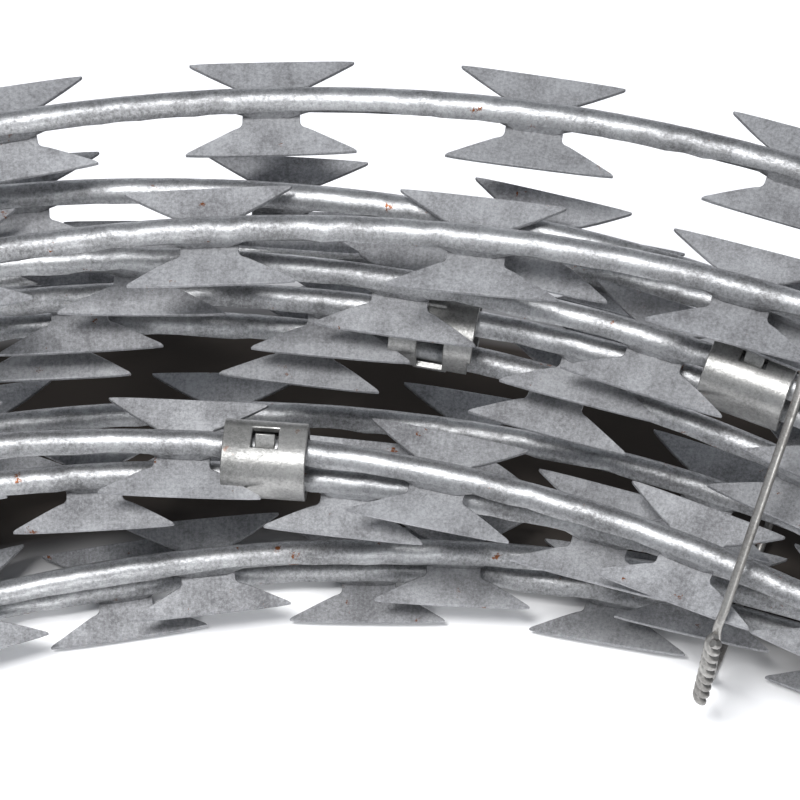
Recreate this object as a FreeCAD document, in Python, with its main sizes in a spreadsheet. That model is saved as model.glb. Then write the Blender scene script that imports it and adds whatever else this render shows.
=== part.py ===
import os
import FreeCAD
import Part
import Sketcher

# A closed concertina coil of razor tape as it lies on a yard floor: one strand of galvanised
# tape rolled round a core wire, wound in twelve turns, with flat barbed blades, forked band
# clips between neighbouring turns and tie wires round the whole bundle.
# Each turn lies level, a little off the centre of its neighbours, and a short plain step of
# the same strand climbs to the next turn on the side away from the viewer.

doc = FreeCAD.newDocument("razor_coil")
sizes = doc.addObject("Spreadsheet::Sheet", "sizes")

cells = {
    "blade_count": 33,            # blade clusters on one turn
    "pitch_count": 35,            # cluster pitches that fit round a full circle
    "blade_pitch": 34.0,          # from one cluster to the next along the strand
    "loop_radius": 189.39,        # centre line of a turn
    "level_step": 5.0,            # one turn above the next
    "first_level": 1.2,           # the lowest turn lies on the tie wires
    "tube_width": 3.9,            # rolled tape
    "tube_height": 3.7,
    "tube_crown": 2.2,            # flat top of the rolled tape
    "tube_flank": 2.0,            # height at which the sides lean in
    "tape_thick": 0.5,
    "root_half": 3.75,            # half of the blade's neck
    "barb_half": 11.0,            # half of the blade's length
    "wing_reach": 7.5,            # from the centre line to the blade's outer edge
    "neck_reach": 3.0,            # where the neck begins to widen
    "step_width": 3.3,
    "step_height": 2.4,
    "step_grip": 3.4,             # how far a step runs into each tube
    "core_radius": 1.25,
    "core_stub": 12.0,
    "clip_length": 11.0,
    "clip_thick": 0.8,
    "clip_inside": 7.0,           # clear width inside a clip
    "fork_width": 3.4,
    "fork_depth": 3.2,
    "tie_thick": 1.2,
    "tie_slack": 1.0,
    "tail_length": 20.0,
    "tail_width": 2.4,
    "tail_thick": 1.6,
}

# Centre of each turn, and the bearing of its first blade cluster, from the lowest turn up.
turns = [
    (13.72, -22.72, -75.3),
    (16.22, -22.02, -78.1),
    (-5.88, -3.32, -75.2),
    (8.12, 19.78, -76.7),
    (-8.08, -18.72, -70.9),
    (-16.18, -16.92, -77.0),
    (-16.28, -1.52, -71.7),
    (-9.28, -0.12, -70.8),
    (-12.18, 1.88, -74.3),
    (-10.58, 9.48, -79.3),
    (5.72, 0.18, -71.7),
    (7.12, 17.08, -73.6),
]

# Clips: the lower turn of the pair that the clip holds, and its bearing.
clip_spots = [
    (1, 113.5),
    (1, 226.5),
    (1, 339.5),
    (2, 47.5),
    (3, 150.5),
    (4, 157.0),
    (5, 85.5),
    (5, 245.0),
    (6, 8.0),
    (6, 178.0),
    (7, 78.5),
    (8, 35.5),
    (8, 66.5),
    (9, 170.0),
    (9, 349.5),
    (10, 63.5),
    (10, 243.5),
    (11, 174.0),
    (11, 354.5),
]

# Tie wires: bearing, the turns that the taut wire bends round, from the floor up, on the bore
# side and on the outer side, and the turn that its twisted tail hangs beside.
tie_spots = [
    (67.5, (1, 6, 11), (1, 4, 12), 6),
    (200.0, (1, 4, 12), (1, 3, 6, 10), 12),
    (307.5, (1, 3, 4, 10, 12), (1, 2, 11), 10),
]

for number, (east, north, bearing) in enumerate(turns, start=1):
    cells[f"turn_east_{number}"] = east
    cells[f"turn_north_{number}"] = north
    cells[f"turn_start_{number}"] = bearing
for number, (lower, bearing) in enumerate(clip_spots, start=1):
    cells[f"clip_bearing_{number}"] = bearing
for number, (bearing, bore_turns, outer_turns, tail_turn) in enumerate(tie_spots, start=1):
    cells[f"tie_bearing_{number}"] = bearing

for row, (alias, value) in enumerate(cells.items(), start=1):
    sizes.set(f"A{row}", alias)
    sizes.set(f"B{row}", str(value))
    sizes.setAlias(f"B{row}", alias)
doc.recompute()


def outline(sketch, corners):
    """A closed outline of straight lines whose corners follow the sheet."""
    spots = [
        FreeCAD.Vector(sizes.evalExpression(x), sizes.evalExpression(y), 0)
        for x, y in corners
    ]
    lines = []
    for place, spot in enumerate(spots):
        onward = spots[(place + 1) % len(spots)]
        lines.append(sketch.addGeometry(Part.LineSegment(spot, onward)))
    for place, line in enumerate(lines):
        onward = lines[(place + 1) % len(lines)]
        sketch.addConstraint(Sketcher.Constraint("Coincident", line, 2, onward, 1))
    for line, spot, (x, y) in zip(lines, spots, corners):
        across = sketch.addConstraint(
            Sketcher.Constraint("DistanceX", -1, 1, line, 1, spot.x)
        )
        along = sketch.addConstraint(
            Sketcher.Constraint("DistanceY", -1, 1, line, 1, spot.y)
        )
        sketch.setExpression(f"Constraints[{across}]", x)
        sketch.setExpression(f"Constraints[{along}]", y)


def plane_sketch(body, label, plane):
    """An empty sketch on one of the body's own origin planes."""
    sketch = body.newObject("Sketcher::SketchObject", label)
    origin = [item for item in body.Origin.OriginFeatures if item.Role == plane][0]
    sketch.AttachmentSupport = [(origin, "")]
    sketch.MapMode = "FlatFace"
    return sketch


def place(item, east, north, up, yaw, pitch="0"):
    """Bind an object's place and turn to the sheet."""
    item.setExpression(
        "Placement",
        f"create(<<placement>>; create(<<vector>>; {east}; {north}; {up});"
        f" create(<<rotation>>; {yaw}; {pitch}; 0))",
    )


def level(number):
    """Height of the underside of a turn."""
    return f"(sizes.first_level + {number - 1} * sizes.level_step)"


def on_turn(number, bearing, radius="sizes.loop_radius"):
    """East and north of a point of a turn at a bearing from its own centre."""
    east = f"(sizes.turn_east_{number} + {radius} * cos({bearing}))"
    north = f"(sizes.turn_north_{number} + {radius} * sin({bearing}))"
    return east, north


# One turn of the strand, open by two pitches. One pitch of it is the tape rolled to a tube,
# mitred at both ends to meet its neighbours, on a flat cluster of two barbed wings.
turn = doc.addObject("PartDesign::Body", "turn")
turn.Label = "strand_turn"

tube_sketch = plane_sketch(turn, "tube_section", "XZ_Plane")
middle = "sizes.loop_radius"
outline(tube_sketch, [
    (f"{middle} - sizes.tube_width / 2", "sizes.tape_thick"),
    (f"{middle} + sizes.tube_width / 2", "sizes.tape_thick"),
    (f"{middle} + sizes.tube_width / 2", "sizes.tube_flank"),
    (f"{middle} + sizes.tube_crown / 2", "sizes.tube_height"),
    (f"{middle} - sizes.tube_crown / 2", "sizes.tube_height"),
    (f"{middle} - sizes.tube_width / 2", "sizes.tube_flank"),
])
tube = turn.newObject("PartDesign::Pad", "tube")
tube.Profile = tube_sketch
tube.SideType = "Symmetric"
tube.setExpression("Length", "1.2 * sizes.blade_pitch")
tube_sketch.Visibility = False
doc.recompute()

# The mitre runs towards the turn's centre, half a pitch to each side.
mitre_sketch = plane_sketch(turn, "mitre_lines", "XY_Plane")
near = "(sizes.loop_radius - sizes.blade_pitch / 2)"
far = "(sizes.loop_radius + sizes.blade_pitch / 2)"
slope = "tan(180 deg / sizes.pitch_count)"
for side in ("+", "-"):
    outline(mitre_sketch, [
        (near, f"0 {side} {near} * {slope}"),
        (far, f"0 {side} {far} * {slope}"),
        (far, f"0 {side} ({far} * {slope} + sizes.blade_pitch)"),
        (near, f"0 {side} ({near} * {slope} + sizes.blade_pitch)"),
    ])
mitre = turn.newObject("PartDesign::Pocket", "mitre")
mitre.Profile = mitre_sketch
mitre.SideType = "Symmetric"
mitre.setExpression("Length", "4 * sizes.tube_height")
mitre_sketch.Visibility = False
doc.recompute()

blade_sketch = plane_sketch(turn, "blade_outline", "XY_Plane")
wing = []
for side in ("+", "-"):
    other = "-" if side == "+" else "+"
    wing.append((f"{middle} {side} sizes.neck_reach", f"0 {other} sizes.root_half"))
    wing.append((f"{middle} {side} sizes.wing_reach", f"0 {other} sizes.barb_half"))
    wing.append((f"{middle} {side} sizes.wing_reach", f"0 {side} sizes.barb_half"))
    wing.append((f"{middle} {side} sizes.neck_reach", f"0 {side} sizes.root_half"))
outline(blade_sketch, wing)
blades = turn.newObject("PartDesign::Pad", "blades")
blades.Profile = blade_sketch
blades.setExpression("Length", "sizes.tape_thick")
blade_sketch.Visibility = False
doc.recompute()

round_turn = turn.newObject("PartDesign::PolarPattern", "round_turn")
round_turn.TransformMode = "Whole shape"
axis = [item for item in turn.Origin.OriginFeatures if item.Role == "Z_Axis"][0]
round_turn.Axis = (axis, [""])
round_turn.setExpression("Angle", "(sizes.blade_count - 1) * 360 deg / sizes.pitch_count")
round_turn.setExpression("Occurrences", "sizes.blade_count")
turn.Tip = round_turn
doc.recompute()
if round_turn.Shape.isNull() or len(round_turn.Shape.Solids) != 1:
    raise RuntimeError("the turn is not one solid")

# The twelve turns of the strand, laid one above the other.
strand = []
for number in range(1, len(turns) + 1):
    laid = doc.addObject("Part::Compound", f"turn_{number}")
    laid.Links = [turn]
    place(
        laid,
        f"sizes.turn_east_{number}",
        f"sizes.turn_north_{number}",
        level(number),
        f"sizes.turn_start_{number} * 1 deg",
    )
    strand.append(laid)

# The plain steps of the strand, each from the end of one turn up to the start of the next.
half_pitch = "180 deg / sizes.pitch_count"
whole_run = "(2 * sizes.blade_count - 1) * 180 deg / sizes.pitch_count"
for number in range(1, len(turns)):
    leave = f"(sizes.turn_start_{number} * 1 deg + {whole_run})"
    arrive = f"(sizes.turn_start_{number + 1} * 1 deg - {half_pitch})"
    east, north = on_turn(number, leave)
    next_east, next_north = on_turn(number + 1, arrive)
    run_east = f"({next_east} - {east})"
    run_north = f"({next_north} - {north})"
    flat_run = f"sqrt({run_east} ^ 2 + {run_north} ^ 2)"
    yaw = f"atan2({run_north}; {run_east})"
    climb = f"-atan2(sizes.level_step; {flat_run})"
    step = doc.addObject("Part::Box", f"step_{number}")
    step.setExpression(
        "Length",
        f"sqrt({flat_run} ^ 2 + sizes.level_step ^ 2) + 2 * sizes.step_grip",
    )
    step.setExpression("Width", "sizes.step_width")
    step.setExpression("Height", "sizes.step_height")
    place(
        step,
        f"{east} - sizes.step_grip * cos({yaw}) + sizes.step_width / 2 * sin({yaw})",
        f"{north} - sizes.step_grip * sin({yaw}) - sizes.step_width / 2 * cos({yaw})",
        f"{level(number)} + (sizes.tube_height + sizes.tape_thick - sizes.step_height) / 2"
        f" - sizes.step_grip * sizes.level_step / {flat_run}",
        yaw,
        climb,
    )
    strand.append(step)

razor_tape = doc.addObject("Part::MultiFuse", "razor_tape")
razor_tape.Label = "razor_tape"
razor_tape.Shapes = strand
doc.recompute()

# The core wire shows at the two cut ends of the strand.
stubs = []
for number, along in ((1, f"-{half_pitch}"), (len(turns), whole_run)):
    stub = doc.addObject("Part::Cylinder", f"core_end_{number}")
    stub.setExpression("Radius", "sizes.core_radius")
    stub.setExpression("Height", "sizes.core_stub")
    bearing = f"(sizes.turn_start_{number} * 1 deg + {along})"
    lean = f"{bearing} + 180 deg" if number == 1 else bearing
    east, north = on_turn(number, bearing)
    stub.setExpression(
        "Placement",
        f"create(<<placement>>; create(<<vector>>; {east}; {north};"
        f" {level(number)} + (sizes.tube_height + sizes.tape_thick) / 2);"
        f" create(<<rotation>>; {lean}; 0; -90))",
    )
    stubs.append(stub)
core_wire = doc.addObject("Part::Compound", "core_wire")
core_wire.Label = "core_wire"
core_wire.Links = stubs

# A clip: a steel band closed round two strands, with a fork cut in its bore-side top edge.
clip = doc.addObject("PartDesign::Body", "clip")
clip.Label = "band_clip"
low = "(sizes.tape_thick - sizes.clip_thick)"
high = "(sizes.level_step + sizes.tube_height + sizes.clip_thick)"
reach = "(sizes.clip_inside / 2 + sizes.clip_thick)"
band_sketch = plane_sketch(clip, "band_section", "XZ_Plane")
outline(band_sketch, [
    (f"0 - {reach}", low), (reach, low), (reach, high), (f"0 - {reach}", high),
])
outline(band_sketch, [
    ("0 - sizes.clip_inside / 2", "sizes.tape_thick"),
    ("sizes.clip_inside / 2", "sizes.tape_thick"),
    ("sizes.clip_inside / 2", "sizes.level_step + sizes.tube_height"),
    ("0 - sizes.clip_inside / 2", "sizes.level_step + sizes.tube_height"),
])
band = clip.newObject("PartDesign::Pad", "band")
band.Profile = band_sketch
band.SideType = "Symmetric"
band.setExpression("Length", "sizes.clip_length")
doc.recompute()

fork_sketch = plane_sketch(clip, "fork_notch", "XY_Plane")
outline(fork_sketch, [
    (f"0 - {reach} - sizes.clip_thick", "0 - sizes.fork_width / 2"),
    (f"0 - {reach} + sizes.fork_depth", "0 - sizes.fork_width / 2"),
    (f"0 - {reach} + sizes.fork_depth", "sizes.fork_width / 2"),
    (f"0 - {reach} - sizes.clip_thick", "sizes.fork_width / 2"),
])
fork_sketch.setExpression(
    "AttachmentOffset",
    "create(<<placement>>; create(<<vector>>; 0; 0;"
    " sizes.level_step + sizes.tube_height - 2 * sizes.clip_thick);"
    " create(<<rotation>>; 0; 0; 0))",
)
fork = clip.newObject("PartDesign::Pocket", "fork")
fork.Profile = fork_sketch
fork.Reversed = True
fork.setExpression("Length", "4 * sizes.clip_thick")
doc.recompute()
clip.Tip = fork

clips = []
for number, (lower, bearing) in enumerate(clip_spots, start=1):
    set_clip = doc.addObject("Part::Compound", f"clip_{number}")
    set_clip.Links = [clip]
    turned = f"(sizes.clip_bearing_{number} * 1 deg)"
    east, north = on_turn(lower, turned)
    next_east, next_north = on_turn(lower + 1, turned)
    place(
        set_clip,
        f"({east} + {next_east}) / 2",
        f"({north} + {next_north}) / 2",
        level(lower),
        turned,
    )
    clips.append(set_clip)
clip_set = doc.addObject("Part::Compound", "clips")
clip_set.Label = "clips"
clip_set.Links = clips

# Tie wires: closed loops of thin wire pulled taut round the whole bundle, each with a
# twisted tail on the bore side.
ties = []
stack = f"({level(len(turns))} + sizes.tube_height)"


def reach_at(number, turned):
    """Distance from the coil's axis to a turn's centre line, along a bearing."""
    ahead = f"(sizes.turn_east_{number} * cos({turned}) + sizes.turn_north_{number} * sin({turned}))"
    aside = f"(sizes.turn_north_{number} * cos({turned}) - sizes.turn_east_{number} * sin({turned}))"
    return f"({ahead} + sqrt(sizes.loop_radius ^ 2 - {aside} ^ 2))"


def wire_corners(turned, bore_turns, outer_turns, grow):
    """Corners of the wire's inner or outer edge, as distance from the axis and height."""
    corners = []
    for side, touched in (("-", bore_turns), ("+", tuple(reversed(outer_turns)))):
        rim = f"{side} (sizes.wing_reach + sizes.tie_slack + {grow})"
        row = []
        for number in touched:
            height = f"{level(number)} + sizes.tape_thick / 2"
            if number == 1:
                height = f"sizes.first_level - {grow}"
            row.append((f"{reach_at(number, turned)} {rim}", height))
        crown = (
            f"{reach_at(len(turns), turned)} {side} (sizes.tube_crown / 2 + {grow} / 2)",
            f"{stack} + {grow}",
        )
        corners += row + [crown] if side == "-" else [crown] + row
    return corners


for number, (bearing, bore_turns, outer_turns, tail_turn) in enumerate(tie_spots, start=1):
    turned = f"(sizes.tie_bearing_{number} * 1 deg)"
    tie = doc.addObject("PartDesign::Body", f"tie_{number}")
    tie.Label = f"tie_wire_{number}"
    loop_sketch = plane_sketch(tie, f"tie_loop_{number}", "XZ_Plane")
    outline(loop_sketch, wire_corners(turned, bore_turns, outer_turns, "sizes.tie_thick"))
    outline(loop_sketch, wire_corners(turned, bore_turns, outer_turns, "0 * sizes.tie_thick"))
    loop = tie.newObject("PartDesign::Pad", f"tie_wire_loop_{number}")
    loop.Profile = loop_sketch
    loop.SideType = "Symmetric"
    loop.setExpression("Length", "sizes.tie_thick")
    doc.recompute()
    tail_bend = (
        f"({reach_at(tail_turn, turned)}"
        " - sizes.wing_reach - sizes.tie_slack - sizes.tie_thick / 2)"
    )
    tail_top = f"({level(tail_turn)} + sizes.tape_thick / 2)"
    tail_sketch = plane_sketch(tie, f"tie_tail_{number}", "XZ_Plane")
    outline(tail_sketch, [
        (tail_bend, f"{tail_top} - sizes.tail_length"),
        (tail_bend, tail_top),
        (f"{tail_bend} - sizes.tail_thick", tail_top),
        (f"{tail_bend} - sizes.tail_thick", f"{tail_top} - sizes.tail_length"),
    ])
    tail = tie.newObject("PartDesign::Pad", f"tie_wire_tail_{number}")
    tail.Profile = tail_sketch
    tail.SideType = "Symmetric"
    tail.setExpression("Length", "sizes.tail_width")
    doc.recompute()
    tie.Tip = tail
    laid_tie = doc.addObject("Part::Compound", f"laid_tie_{number}")
    laid_tie.Links = [tie]
    place(laid_tie, "0", "0", "0", turned)
    ties.append(laid_tie)
tie_wires = doc.addObject("Part::Compound", "tie_wires")
tie_wires.Label = "tie_wires"
tie_wires.Links = ties
doc.recompute()

for item in doc.Objects:
    faults = [state for state in item.State if state in ("Invalid", "Error")]
    if faults:
        raise RuntimeError(f"{item.Label}: {faults}")

os.makedirs("parts", exist_ok=True)
for item in (razor_tape, core_wire, clip_set, tie_wires):
    if item.Shape.isNull() or not item.Shape.isValid():
        raise RuntimeError(f"{item.Label} has no valid shape")
    print(item.Label, len(item.Shape.Solids), "solids", len(item.Shape.Faces), "faces",
          round(item.Shape.Volume / 1000, 2), "cm3",
          len(item.Shape.tessellate(0.1)[1]), "facets")
    item.Shape.exportStep(f"parts/{item.Label}.step")
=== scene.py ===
import math
import random

import bmesh
import bpy
from mathutils import Matrix, Vector


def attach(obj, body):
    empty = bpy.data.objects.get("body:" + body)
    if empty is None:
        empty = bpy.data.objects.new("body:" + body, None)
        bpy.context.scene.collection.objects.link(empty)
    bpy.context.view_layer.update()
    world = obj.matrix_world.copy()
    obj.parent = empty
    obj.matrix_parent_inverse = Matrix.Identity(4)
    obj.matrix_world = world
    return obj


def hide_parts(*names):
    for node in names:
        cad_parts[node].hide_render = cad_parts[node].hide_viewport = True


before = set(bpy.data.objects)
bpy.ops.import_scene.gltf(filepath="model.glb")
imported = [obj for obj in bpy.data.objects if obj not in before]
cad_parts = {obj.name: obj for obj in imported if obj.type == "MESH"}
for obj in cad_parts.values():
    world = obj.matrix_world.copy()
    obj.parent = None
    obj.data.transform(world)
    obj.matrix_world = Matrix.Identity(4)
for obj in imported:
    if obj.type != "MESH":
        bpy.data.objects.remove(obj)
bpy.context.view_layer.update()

MM = 0.001


# Shared helpers.

def new_piece(name, mesh, material, slot, *nodes):
    """Put a finished mesh in the scene as a piece that stands for CAD nodes."""
    mesh.materials.append(material)
    piece = bpy.data.objects.new(name, mesh)
    bpy.context.scene.collection.objects.link(piece)
    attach(piece, "root")
    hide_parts(*nodes)
    return piece


def finish_mesh(bm, name, sharp_degrees):
    """Turn a bmesh into a smooth mesh with sharp folds."""
    bmesh.ops.recalc_face_normals(bm, faces=bm.faces)
    mesh = bpy.data.meshes.new(name)
    bm.to_mesh(mesh)
    bm.free()
    for polygon in mesh.polygons:
        polygon.use_smooth = True
    mesh.set_sharp_from_angle(angle=math.radians(sharp_degrees))
    return mesh


def sweep(bm, rings, closed=False, caps=True):
    """Skin a list of rings of points, each ring the same length."""
    rows = [[bm.verts.new(point) for point in ring] for ring in rings]
    count = len(rows[0])
    last = len(rows) if closed else len(rows) - 1
    for row in range(last):
        here, there = rows[row], rows[(row + 1) % len(rows)]
        for k in range(count):
            bm.faces.new((here[k], here[(k + 1) % count], there[(k + 1) % count], there[k]))
    if caps and not closed:
        bm.faces.new(rows[0])
        bm.faces.new(list(reversed(rows[-1])))
    return rows


def wire_along(bm, path, radius, sides=10, closed=False):
    """A round wire along a path of points, all in metres."""
    rings = []
    count = len(path)
    for k, spot in enumerate(path):
        before = path[k - 1] if (k > 0 or closed) else spot
        after = path[(k + 1) % count] if (k < count - 1 or closed) else spot
        run = (after - before).normalized()
        side = run.cross(Vector((0, 0, 1)))
        if side.length < 0.05:
            side = run.cross(Vector((0.3, 0.9, 0.1)))
        side.normalize()
        up = side.cross(run)
        if rings:
            last_side = rings[-1][1]
            side = (last_side - run * last_side.dot(run)).normalized()
            up = side.cross(run)
        rings.append((spot, side, up))
    rows = [
        [
            spot
            + side * radius * math.cos(2 * math.pi * k / sides)
            + up * radius * math.sin(2 * math.pi * k / sides)
            for k in range(sides)
        ]
        for spot, side, up in rings
    ]
    sweep(bm, rows, closed=closed)


# Galvanised steel: one shared pattern of zinc, drawing marks and rust for every piece.

def galvanised_group():
    """Mottled zinc: a grey that varies in fine grain and soft clouds, with rust specks."""
    group = bpy.data.node_groups.new("galvanised", "ShaderNodeTree")
    face = group.interface
    face.new_socket("Light", in_out="INPUT", socket_type="NodeSocketColor")
    face.new_socket("Dark", in_out="INPUT", socket_type="NodeSocketColor")
    face.new_socket("Rust", in_out="INPUT", socket_type="NodeSocketFloat")
    face.new_socket("Streaks", in_out="INPUT", socket_type="NodeSocketFloat")
    face.new_socket("Polish", in_out="INPUT", socket_type="NodeSocketFloat")
    face.new_socket("Base Color", in_out="OUTPUT", socket_type="NodeSocketColor")
    face.new_socket("Roughness", in_out="OUTPUT", socket_type="NodeSocketFloat")
    face.new_socket("Height", in_out="OUTPUT", socket_type="NodeSocketFloat")
    nodes, links = group.nodes, group.links
    inside = nodes.new("NodeGroupInput")
    outside = nodes.new("NodeGroupOutput")
    coords = nodes.new("ShaderNodeTexCoord")

    def noise(scale, detail, rough):
        """Noise over the object's own coordinates, its scale counted per metre."""
        node = nodes.new("ShaderNodeTexNoise")
        node.inputs["Scale"].default_value = scale
        node.inputs["Detail"].default_value = detail
        node.inputs["Roughness"].default_value = rough
        links.new(coords.outputs["Object"], node.inputs["Vector"])
        return node

    def ramp(low, high, source):
        """Spread a value's range out to 0 to 1."""
        node = nodes.new("ShaderNodeMapRange")
        node.inputs["From Min"].default_value = low
        node.inputs["From Max"].default_value = high
        links.new(source, node.inputs["Value"])
        return node

    # Drawing marks run across the tape, so their grain is long outward and short along the turn.
    parts = nodes.new("ShaderNodeSeparateXYZ")
    links.new(coords.outputs["Object"], parts.inputs[0])
    bearing = nodes.new("ShaderNodeMath")
    bearing.operation = "ARCTAN2"
    links.new(parts.outputs["Y"], bearing.inputs[0])
    links.new(parts.outputs["X"], bearing.inputs[1])
    flat = nodes.new("ShaderNodeVectorMath")
    flat.operation = "LENGTH"
    links.new(coords.outputs["Object"], flat.inputs[0])
    across = nodes.new("ShaderNodeCombineXYZ")
    for source, gain, socket in (
        (bearing.outputs[0], 420.0, "X"),
        (flat.outputs["Value"], 160.0, "Y"),
        (parts.outputs["Z"], 200.0, "Z"),
    ):
        node = nodes.new("ShaderNodeMath")
        node.operation = "MULTIPLY"
        node.inputs[1].default_value = gain
        links.new(source, node.inputs[0])
        links.new(node.outputs[0], across.inputs[socket])
    streak = nodes.new("ShaderNodeTexNoise")
    streak.inputs["Scale"].default_value = 1.0
    streak.inputs["Detail"].default_value = 3.0
    streak.inputs["Roughness"].default_value = 0.7
    links.new(across.outputs[0], streak.inputs["Vector"])

    grain = noise(2200.0, 4.0, 0.8)
    cloud = noise(140.0, 5.0, 0.65)
    speck = noise(250.0, 5.0, 0.75)
    both = nodes.new("ShaderNodeMath")
    both.operation = "ADD"
    links.new(grain.outputs["Fac"], both.inputs[0])
    links.new(cloud.outputs["Fac"], both.inputs[1])
    centred = nodes.new("ShaderNodeMath")
    centred.operation = "SUBTRACT"
    centred.inputs[1].default_value = 0.5
    links.new(streak.outputs["Fac"], centred.inputs[0])
    marked = nodes.new("ShaderNodeMath")
    marked.operation = "MULTIPLY_ADD"
    links.new(centred.outputs[0], marked.inputs[0])
    links.new(inside.outputs["Streaks"], marked.inputs[1])
    links.new(both.outputs[0], marked.inputs[2])
    tone = ramp(0.76, 1.24, marked.outputs[0])
    blend = nodes.new("ShaderNodeMix")
    blend.data_type = "RGBA"
    links.new(tone.outputs["Result"], blend.inputs["Factor"])
    links.new(inside.outputs["Dark"], blend.inputs["A"])
    links.new(inside.outputs["Light"], blend.inputs["B"])
    rusty = ramp(0.655, 0.69, speck.outputs["Fac"])
    amount = nodes.new("ShaderNodeMath")
    amount.operation = "MULTIPLY"
    links.new(rusty.outputs["Result"], amount.inputs[0])
    links.new(inside.outputs["Rust"], amount.inputs[1])
    rust = nodes.new("ShaderNodeMix")
    rust.data_type = "RGBA"
    rust.inputs["B"].default_value = (0.16, 0.055, 0.02, 1)
    links.new(amount.outputs[0], rust.inputs["Factor"])
    links.new(blend.outputs["Result"], rust.inputs["A"])
    links.new(rust.outputs["Result"], outside.inputs["Base Color"])
    rough = ramp(0.0, 1.0, tone.outputs["Result"])
    rough.inputs["To Min"].default_value = 0.62
    rough.inputs["To Max"].default_value = 0.44
    shine = nodes.new("ShaderNodeMath")
    shine.operation = "SUBTRACT"
    links.new(rough.outputs["Result"], shine.inputs[0])
    links.new(inside.outputs["Polish"], shine.inputs[1])
    links.new(shine.outputs[0], outside.inputs["Roughness"])
    links.new(marked.outputs[0], outside.inputs["Height"])
    return group


GALVANISED = galvanised_group()


def steel(name, light, dark, rust, bump, streaks=0.0, polish=0.0):
    """One galvanised finish: the shared group feeding a metal shader.

    Rust, bump and streaks are strengths, and polish takes away from the roughness.
    """
    material = bpy.data.materials.new(name)
    material.use_nodes = True
    nodes, links = material.node_tree.nodes, material.node_tree.links
    shader = nodes["Principled BSDF"]
    shader.inputs["Metallic"].default_value = 0.85
    mottle = nodes.new("ShaderNodeGroup")
    mottle.node_tree = GALVANISED
    mottle.inputs["Light"].default_value = (*light, 1)
    mottle.inputs["Dark"].default_value = (*dark, 1)
    mottle.inputs["Rust"].default_value = rust
    mottle.inputs["Streaks"].default_value = streaks
    mottle.inputs["Polish"].default_value = polish
    relief = nodes.new("ShaderNodeBump")
    relief.inputs["Strength"].default_value = bump
    relief.inputs["Distance"].default_value = 0.00008
    links.new(mottle.outputs["Base Color"], shader.inputs["Base Color"])
    links.new(mottle.outputs["Roughness"], shader.inputs["Roughness"])
    links.new(mottle.outputs["Height"], relief.inputs["Height"])
    links.new(relief.outputs["Normal"], shader.inputs["Normal"])
    return material


# Razor tape. One strip of galvanised steel, punched with pairs of barbed wings and rolled round
# a core wire, so that a seam runs along the tube and a flat cluster of four barbs stands out of
# its underside at every pitch. Twelve turns of it are laid one above the other.

# Each turn's centre, east and north in mm, and the bearing of its first cluster.
TURNS = [
    (13.72, -22.72, -75.3),
    (16.22, -22.02, -78.1),
    (-5.88, -3.32, -75.2),
    (8.12, 19.78, -76.7),
    (-8.08, -18.72, -70.9),
    (-16.18, -16.92, -77.0),
    (-16.28, -1.52, -71.7),
    (-9.28, -0.12, -70.8),
    (-12.18, 1.88, -74.3),
    (-10.58, 9.48, -79.3),
    (5.72, 0.18, -71.7),
    (7.12, 17.08, -73.6),
]
LOOP_RADIUS = 189.39
PITCHES = 35
CLUSTERS = 33
STEP_UP = 5.0
FIRST_LEVEL = 1.2
TUBE_WIDTH = 3.9
TUBE_HEIGHT = 3.7
TAPE = 0.5
PITCH_ANGLE = 2 * math.pi / PITCHES
BLADE_PITCH = 34.0
RINGS_PER_PITCH = 14
RING_POINTS = 22

tape_steel = steel(
    "galvanised_tape", (0.44, 0.445, 0.455), (0.14, 0.14, 0.143), 1.0, 0.6, 0.0, 0.1
)
barb_steel = steel(
    "galvanised_barb", (0.42, 0.425, 0.44), (0.19, 0.19, 0.198), 1.0, 0.5, 0.25, -0.1
)


def turn_frame(turn, angle):
    """Point on a turn's centre line, with its outward and forward directions, in mm."""
    east, north, start = TURNS[turn]
    outward = Vector((math.cos(angle), math.sin(angle), 0))
    forward = Vector((-math.sin(angle), math.cos(angle), 0))
    spot = Vector((east, north, FIRST_LEVEL + turn * STEP_UP)) + outward * LOOP_RADIUS
    return spot, outward, forward


def smooth(x):
    """A soft step from 0 to 1."""
    x = min(1.0, max(0.0, x))
    return x * x * (3 - 2 * x)


def strand_frame(turn, along, sway):
    """The strand's frame along a turn, counted in pitches from its first cluster."""
    angle = math.radians(TURNS[turn][2]) + along * PITCH_ANGLE
    spot, outward, forward = turn_frame(turn, angle)
    last = CLUSTERS - 0.5
    if along > last and turn + 1 < len(TURNS):
        share = smooth((along - last) / (PITCHES - CLUSTERS))
        next_spot, _, _ = turn_frame(turn + 1, angle)
        spot = spot.lerp(next_spot, share)
    wander = sum(
        size * math.sin(angle * waves + shift) for size, waves, shift in sway
    )
    return spot + outward * wander, outward, forward


def tube_section(seam, flange, dent):
    """Points round the rolled tube, from the seam on. The free edge stands a little proud."""
    points = []
    for k in range(RING_POINTS):
        share = k / (RING_POINTS - 1)
        turn = seam + share * 2 * math.pi
        lip = 0.14 * smooth(share * 8.0 - 7.0)
        tuck = 0.5 * (1 - smooth(share * 3.0)) * (1 - flange)
        lift = -0.14 + lip - tuck - dent * 0.06
        x = math.cos(turn) * (TUBE_WIDTH / 2 + lift)
        z = TUBE_HEIGHT / 2 + math.sin(turn) * (TUBE_HEIGHT / 2 + lift * 0.6)
        if z < 1.3:
            spread = (1.3 - z) / 1.3
            x *= 1 + flange * 0.75 * spread
            z = max(0.05, z * (1 - 0.35 * flange * spread))
        points.append((x, max(0.02, z)))
    return points


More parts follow.
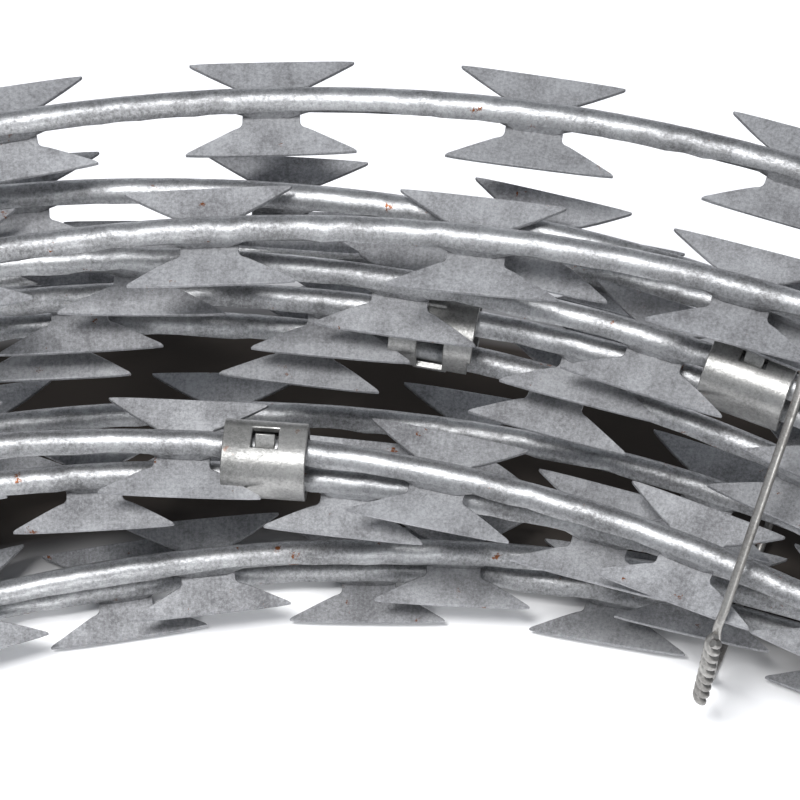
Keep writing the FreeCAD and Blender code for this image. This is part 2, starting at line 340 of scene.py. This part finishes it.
# Half of a wing's outline as (outward, forward) in mm: neck, round notch, barb and outer edge.
WING = [
    (0.6, 3.7), (2.3, 3.7), (2.55, 3.74), (2.8, 3.86), (3.0, 4.06), (3.14, 4.34), (3.26, 4.66),
    (3.6, 5.3), (4.4, 6.7), (5.2, 8.05), (6.1, 9.5), (6.72, 10.5), (6.96, 10.72), (7.1, 10.66),
    (7.2, 9.2), (7.27, 6.5), (7.3, 3.0),
]


def wing_outline(side, rng):
    """A wing's outline in (outward, forward), closed, with small differences in each barb."""
    tips = (rng.uniform(-0.35, 0.2), rng.uniform(-0.35, 0.2))
    half = []
    for reach, along in WING:
        share = max(0.0, (along - 7.0) / 4.0)
        half.append((reach, along + tips[0] * share))
    other = []
    for reach, along in reversed(WING):
        share = max(0.0, (along - 7.0) / 4.0)
        other.append((reach, -along - tips[1] * share))
    outline = half + other
    if side < 0:
        outline = [(-reach, along) for reach, along in reversed(outline)]
    return outline


def add_wing(bm, spot, outward, forward, side, rng):
    """One flat barbed wing, with a thin bevel round its top edge."""
    outline = wing_outline(side, rng)
    droop = math.radians(rng.uniform(-1.5, 3.0))
    twist = math.radians(rng.uniform(-1.2, 1.2))
    centre = (side * 5.0, 0.0)
    levels = ((0.02, 0.0), (TAPE - 0.12, 0.0), (TAPE, 0.14))
    rows = []
    for height, inset in levels:
        row = []
        for reach, along in outline:
            if inset:
                away = Vector((centre[0] - reach, centre[1] - along))
                away.x *= 2.2
                away.normalize()
                reach += away.x * inset
                along += away.y * inset
            rise = math.tan(droop) * max(0.0, abs(reach) - 1.5)
            rise += math.tan(twist) * along * smooth((abs(reach) - 1.5) / 3.0)
            point = spot + outward * reach + forward * along + Vector((0, 0, height + rise))
            row.append(bm.verts.new(point * MM))
        rows.append(row)
    count = len(outline)
    for low, high in zip(rows, rows[1:]):
        for k in range(count):
            bm.faces.new((low[k], low[(k + 1) % count], high[(k + 1) % count], high[k]))
    bm.faces.new(rows[-1])
    bm.faces.new(list(reversed(rows[0])))


for turn in range(len(TURNS)):
    rng = random.Random(41 + turn)
    sway = [(rng.uniform(0.1, 0.35), waves, rng.uniform(0, 6.28)) for waves in (3, 5, 8)]
    seam_waves = [(rng.uniform(0.04, 0.11), rng.uniform(20, 110), rng.uniform(0, 6.28))
                  for _ in range(5)]
    seam_waves += [(0.04, rng.uniform(150, 220), rng.uniform(0, 6.28)) for _ in range(3)]
    bm = bmesh.new()
    run = CLUSTERS if turn + 1 == len(TURNS) else PITCHES
    rings = []
    for step in range(run * RINGS_PER_PITCH + 1):
        along = step / RINGS_PER_PITCH - 0.5
        spot, outward, forward = strand_frame(turn, along, sway)
        off_cluster = abs(along - round(along)) * BLADE_PITCH
        on_blades = round(along) < CLUSTERS
        flange = 1 - smooth((off_cluster - 2.6) / 2.2) if on_blades else 0.0
        seam = math.radians(174) + sum(
            size * math.sin(along * waves * PITCH_ANGLE + shift)
            for size, waves, shift in seam_waves
        )
        dent = math.sin(along * 2.1 + turn) * 0.5 + 0.5
        ring = [
            (spot + outward * x + Vector((0, 0, z))) * MM
            for x, z in tube_section(seam, flange, dent)
        ]
        rings.append(ring)
    sweep(bm, rings)
    tube_faces = len(bm.faces)
    for cluster in range(CLUSTERS):
        spot, outward, forward = strand_frame(turn, cluster, sway)
        for side in (-1, 1):
            add_wing(bm, spot, outward, forward, side, rng)
    mesh = finish_mesh(bm, f"tape_turn_{turn + 1:02d}", 32)
    new_piece(f"tape_turn_{turn + 1:02d}", mesh, tape_steel, "galvanised_tape", "razor_tape")
    mesh.materials.append(barb_steel)
    for polygon in mesh.polygons[tube_faces:]:
        polygon.material_index = 1


# Core wire. A drawn high-tensile wire runs inside the rolled tape along the whole strand.
# It shows only where the strand is cut, at the first and the last turn.

core_steel = steel("core_steel", (0.42, 0.42, 0.43), (0.22, 0.22, 0.22), 0.6, 0.1)
bm = bmesh.new()
for turn, along, sense in ((0, -0.5, -1), (len(TURNS) - 1, CLUSTERS - 0.5, 1)):
    spot, outward, forward = turn_frame(turn, math.radians(TURNS[turn][2]) + along * PITCH_ANGLE)
    start = spot + Vector((0, 0, TUBE_HEIGHT / 2)) - forward * sense * 2.0
    path = [(start + forward * sense * far) * MM for far in (0, 4, 9, 13.6, 13.9)]
    wire_along(bm, path, 1.25 * MM, 16)
mesh = finish_mesh(bm, "core_wire", 35)
new_piece("core_wire", mesh, core_steel, "core_steel", "core_wire")


# Clips. A steel band pressed round two neighbouring turns. A small tongue of the band stands
# in a window in its top, and on some clips the bore side is cut to two prongs.

CLIPS = [
    (1, 113.5), (1, 226.5), (1, 339.5), (2, 47.5), (3, 150.5), (4, 157.0), (5, 85.5),
    (5, 245.0), (6, 8.0), (6, 178.0), (7, 78.5), (8, 35.5), (8, 66.5), (9, 170.0),
    (9, 349.5), (10, 63.5), (10, 243.5), (11, 174.0), (11, 354.5),
]
CLIP_LENGTH = 11.0
CLIP_THICK = 0.8
CLIP_INSIDE = 7.0

clip_steel = steel(
    "clip_steel", (0.42, 0.415, 0.405), (0.17, 0.17, 0.165), 0.5, 0.5, 0.0, 0.14
)


def band_profile(outside):
    """The band's loop as (across, up), from the middle of the outer side over the top."""
    grow = CLIP_THICK if outside else 0.0
    half = CLIP_INSIDE / 2 + grow
    low = TAPE - grow
    high = STEP_UP + TUBE_HEIGHT + grow
    bore, back = 3.3 + grow * 0.7, 1.2 + grow * 0.7
    points = []
    for across, up, radius, first in (
        (half - back, high - back, back, 0),
        (bore - half, high - bore, bore, 90),
        (bore - half, low + bore, bore, 180),
        (half - back, low + back, back, 270),
    ):
        for k in range(7):
            turn = math.radians(first + 15 * k)
            points.append((across + radius * math.cos(turn), up + radius * math.sin(turn)))
        if first == 0:
            points.append((0.35, high))
    return points


# Which cells of the band are open: the notch in the top of a plain clip, or the gap between
# the prongs of a forked one. Cells count round the loop, and along it from one edge.
ALONG = [-5.5, -5.0, -3.9, -2.2, -1.75, 0.0, 1.75, 2.2, 3.9, 5.0, 5.5]
NOTCH = {(k, j) for k in (6, 7) for j in (4, 5)}
FORK = {(k, j) for k in (9, 10, 11, 12, 13, 14, 15) for j in (4, 5)}
FORK |= {(k, j) for k in (14, 15, 16) for j in (0, 9)}
FORK |= {(k, j) for k in (16, 17, 18) for j in range(0, 3)}
FORK |= {(k, j) for k in (16, 17, 18) for j in range(7, 10)}

bm = bmesh.new()
for lower, bearing in CLIPS:
    angle = math.radians(bearing)
    first, outward, forward = turn_frame(lower - 1, angle)
    second, _, _ = turn_frame(lower, angle)
    centre = (first + second) / 2
    place = Matrix((
        (outward.x, forward.x, 0, centre.x),
        (outward.y, forward.y, 0, centre.y),
        (0, 0, 1, first.z),
        (0, 0, 0, 1),
    ))
    opened = FORK if lower in (7, 3, 9) else NOTCH
    layers = []
    for outside in (True, False):
        profile = band_profile(outside)
        layers.append([
            [bm.verts.new((place @ Vector((across, along, up))) * MM) for along in ALONG]
            for across, up in profile
        ])
    around = len(layers[0])

    def there(k, j):
        return 0 <= j < len(ALONG) - 1 and (k % around, j) not in opened

    for k in range(around):
        nxt = (k + 1) % around
        for j in range(len(ALONG) - 1):
            if not there(k, j):
                continue
            for layer in layers:
                bm.faces.new((layer[k][j], layer[nxt][j], layer[nxt][j + 1], layer[k][j + 1]))
            out, ins = layers
            if not there(k, j - 1):
                bm.faces.new((out[k][j], out[nxt][j], ins[nxt][j], ins[k][j]))
            if not there(k, j + 1):
                bm.faces.new((out[k][j + 1], out[nxt][j + 1], ins[nxt][j + 1], ins[k][j + 1]))
            if not there(k - 1, j):
                bm.faces.new((out[k][j], out[k][j + 1], ins[k][j + 1], ins[k][j]))
            if not there(k + 1, j):
                bm.faces.new((out[nxt][j], out[nxt][j + 1], ins[nxt][j + 1], ins[nxt][j]))
    # The tongue: a small square of the band pressed down through the opening.
    tongue = bmesh.ops.create_cube(bm, size=1.0)["verts"]
    top = STEP_UP + TUBE_HEIGHT
    tilt = Matrix.Rotation(math.radians(-38), 4, "Y")
    shape = Matrix.Diagonal((2.2, 2.6, 0.6, 1.0))
    spot = Matrix.Translation(Vector((0.75, 0.0, top + 0.15)))
    for vert in tongue:
        vert.co = (place @ (spot @ tilt @ shape @ vert.co)) * MM
mesh = finish_mesh(bm, "clips", 38)
clips = new_piece("clips", mesh, clip_steel, "clip_steel", "clips")
bevel = clips.modifiers.new("edge", "BEVEL")
bevel.width = 0.12 * MM
bevel.segments = 2
bevel.limit_method = "ANGLE"
bevel.angle_limit = math.radians(50)


# Tie wires. Soft wire bound once round the whole bundle and pulled taut over the turns that
# stand out furthest. Its two ends are twisted together and hang down on the bore side.

TIES = [
    (67.5, (1, 6, 11), (1, 4, 12), 6),
    (200.0, (1, 4, 12), (1, 3, 6, 10), 12),
    (307.5, (1, 3, 4, 10, 12), (1, 2, 11), 10),
]
TIE_RADIUS = 0.6
STACK_TOP = FIRST_LEVEL + (len(TURNS) - 1) * STEP_UP + TUBE_HEIGHT

tie_steel = steel("tie_steel", (0.45, 0.44, 0.42), (0.2, 0.19, 0.18), 0.6, 0.2, 0.0, 0.12)
bm = bmesh.new()


def reach_at(turn, outward):
    """Distance from the coil's axis to a turn's centre line, along a direction."""
    middle = Vector((TURNS[turn - 1][0], TURNS[turn - 1][1], 0))
    ahead = middle.dot(outward)
    aside = (middle - outward * ahead).length
    return ahead + math.sqrt(LOOP_RADIUS ** 2 - aside ** 2)


def rounded_path(corners, radius, steps=5):
    """A closed path of (across, up) corners with each corner rounded."""
    path = []
    for k, here in enumerate(corners):
        before = Vector(corners[k - 1]) - Vector(here)
        after = Vector(corners[(k + 1) % len(corners)]) - Vector(here)
        cut = min(radius, before.length * 0.45, after.length * 0.45)
        start = Vector(here) + before.normalized() * cut
        finish = Vector(here) + after.normalized() * cut
        for step in range(steps + 1):
            share = step / steps
            curve = start.lerp(Vector(here), share).lerp(Vector(here).lerp(finish, share), share)
            path.append(curve)
    return path


for index, (bearing, bore_turns, outer_turns, tail_turn) in enumerate(TIES):
    angle = math.radians(bearing)
    outward = Vector((math.cos(angle), math.sin(angle), 0))
    forward = Vector((-math.sin(angle), math.cos(angle), 0))
    corners = []
    for sense, touched in ((-1, bore_turns), (1, tuple(reversed(outer_turns)))):
        row = [
            (
                reach_at(turn, outward) + sense * (7.5 + 1.0 + TIE_RADIUS),
                TIE_RADIUS if turn == 1 else FIRST_LEVEL + (turn - 1) * STEP_UP + TAPE / 2,
            )
            for turn in touched
        ]
        crown = [(reach_at(len(TURNS), outward) + sense * 1.4, STACK_TOP + TIE_RADIUS)]
        corners += row + crown if sense < 0 else crown + row
    path = []
    for k, (across, up) in enumerate(rounded_path(corners, 3.0)):
        bend = 0.12 * math.sin(k * 0.9 + index)
        path.append((outward * across + forward * bend + Vector((0, 0, up))) * MM)
    wire_along(bm, path, TIE_RADIUS * MM, 12, closed=True)
    waist = reach_at(tail_turn, outward) - 7.5 - 1.0 - TIE_RADIUS
    top = FIRST_LEVEL + (tail_turn - 1) * STEP_UP + TAPE / 2
    for strand in (0, math.pi):
        twist = []
        for k in range(51):
            turn = strand + k * 2 * math.pi / 12
            across = waist - 0.85 + 0.6 * math.cos(turn)
            along = 0.6 * math.sin(turn)
            up = top - 0.6 - k * 0.37
            twist.append((outward * across + forward * along + Vector((0, 0, up))) * MM)
        wire_along(bm, twist, TIE_RADIUS * 0.92 * MM, 10)
mesh = finish_mesh(bm, "tie_wires", 40)
new_piece("tie_wires", mesh, tie_steel, "tie_steel", "tie_wires")


# Floor, lights and camera.

floor_mesh = bpy.data.meshes.new("floor")
floor_mesh.from_pydata(
    [(-3, -3, 0), (3, -3, 0), (3, 3, 0), (-3, 3, 0)], [], [(0, 1, 2, 3)]
)
floor_with_painted_shade = bpy.data.materials.new("floor_with_painted_shade")
floor_with_painted_shade.use_nodes = True
floor_shader = floor_with_painted_shade.node_tree.nodes["Principled BSDF"]
paint_nodes, paint_links = floor_with_painted_shade.node_tree.nodes, floor_with_painted_shade.node_tree.links
where = paint_nodes.new("ShaderNodeTexCoord")
length = paint_nodes.new("ShaderNodeVectorMath")
length.operation = "LENGTH"
floor_tones_with_painted_shade = paint_nodes.new("ShaderNodeValToRGB")
paint_links.new(where.outputs["Object"], length.inputs[0])
paint_links.new(length.outputs["Value"], floor_tones_with_painted_shade.inputs["Fac"])
paint_links.new(floor_tones_with_painted_shade.outputs["Color"], floor_shader.inputs["Base Color"])
# White in and round the coil, with painted shade: a dark ring under the coil's turns stands in
# for the shadow the coil casts on the ground.
floor_tones_with_painted_shade.color_ramp.elements[0].position = 0.164
floor_tones_with_painted_shade.color_ramp.elements[0].color = (0.94, 0.94, 0.95, 1)
floor_tones_with_painted_shade.color_ramp.elements[1].position = 0.222
floor_tones_with_painted_shade.color_ramp.elements[1].color = (0.94, 0.94, 0.97, 1)
# The two dark stops are painted shade, a near-black brownish shadow painted into the floor's
# colour under the turns.
for spot, shade in ((0.176, 0.05), (0.207, 0.05)):
    stop = floor_tones_with_painted_shade.color_ramp.elements.new(spot)
    stop.color = (shade, shade * 0.85, shade * 0.75, 1)
floor_shader.inputs["Roughness"].default_value = 0.9
floor_shader.inputs["Specular IOR Level"].default_value = 0.1
floor_mesh.materials.append(floor_with_painted_shade)
floor = bpy.data.objects.new("floor", floor_mesh)
bpy.context.scene.collection.objects.link(floor)

world = bpy.data.worlds.new("sky")
bpy.context.scene.world = world
world.use_nodes = True
soft = world.node_tree.nodes["Background"]
soft.inputs["Color"].default_value = (0.88, 0.93, 1.0, 1)
soft.inputs["Strength"].default_value = 0.42


def soft_light(name, spot, target, size, power):
    """A square soft light that looks at a point."""
    lamp = bpy.data.lights.new(name, "AREA")
    lamp.size = size
    lamp.energy = power
    holder = bpy.data.objects.new(name, lamp)
    bpy.context.scene.collection.objects.link(holder)
    holder.location = spot
    holder.rotation_euler = (Vector(target) - Vector(spot)).to_track_quat("-Z", "Y").to_euler()


soft_light("key", (-0.4, 0.0, 1.5), (0, 0.15, 0), 0.5, 27.0)
soft_light("fill", (0.6, -1.3, 0.9), (0, 0, 0), 0.6, 12.0)

aim = Vector((0.0204, 0.1781, 0.030))
rise = math.radians(60)
reach = 0.35
camera = bpy.data.cameras.new("camera")
camera.lens = 119.7
camera.sensor_width = 36.0
camera.clip_start = 0.01
eye = bpy.data.objects.new("camera", camera)
bpy.context.scene.collection.objects.link(eye)
eye.location = aim + Vector((0, -math.cos(rise), math.sin(rise))) * reach
eye.rotation_euler = (math.pi / 2 - rise, 0, 0)
bpy.context.scene.camera = eye
bpy.context.scene.view_settings.view_transform = "Standard"
